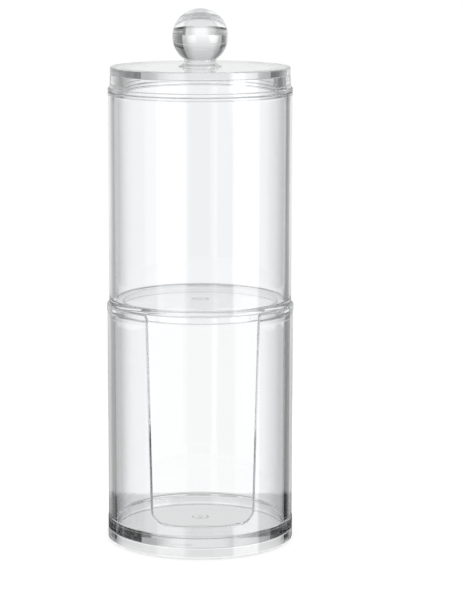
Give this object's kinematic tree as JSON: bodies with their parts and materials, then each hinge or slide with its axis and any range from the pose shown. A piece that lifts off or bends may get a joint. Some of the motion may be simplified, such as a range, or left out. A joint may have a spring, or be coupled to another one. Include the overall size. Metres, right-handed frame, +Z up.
{
  "type": "acrylic storage jar",
  "caption": "Clear acrylic storage jar in two stacked tiers: a lower jar with a dispensing window open at its rim, an upper jar and a lid with a ball knob.",
  "frame": {"origin": "centre of the foot ring's underside, on the jar's axis", "axes": "+Z up along the jar's axis from foot to knob, -Y out of the dispensing window, +X to the right of the window seen from the front"},
  "size_m": [0.07, 0.07, 0.2],
  "materials": {
    "clear_acrylic": "polished"
  },
  "bodies": {
    "lower_jar": {"lower_jar": "clear_acrylic"},
    "upper_jar": {"upper_jar": "clear_acrylic"},
    "lid": {"lid": "clear_acrylic", "ball_knob": "clear_acrylic"}
  },
  "joints": [
    {"name": "upper_jar_lift", "type": "slide", "parent": "lower_jar", "child": "upper_jar", "axis": [0, 0, 1], "range_m": [0, 0.08]},
    {"name": "lid_lift", "type": "slide", "parent": "upper_jar", "child": "lid", "axis": [0, 0, 1], "range_m": [0, 0.08]}
  ]
}
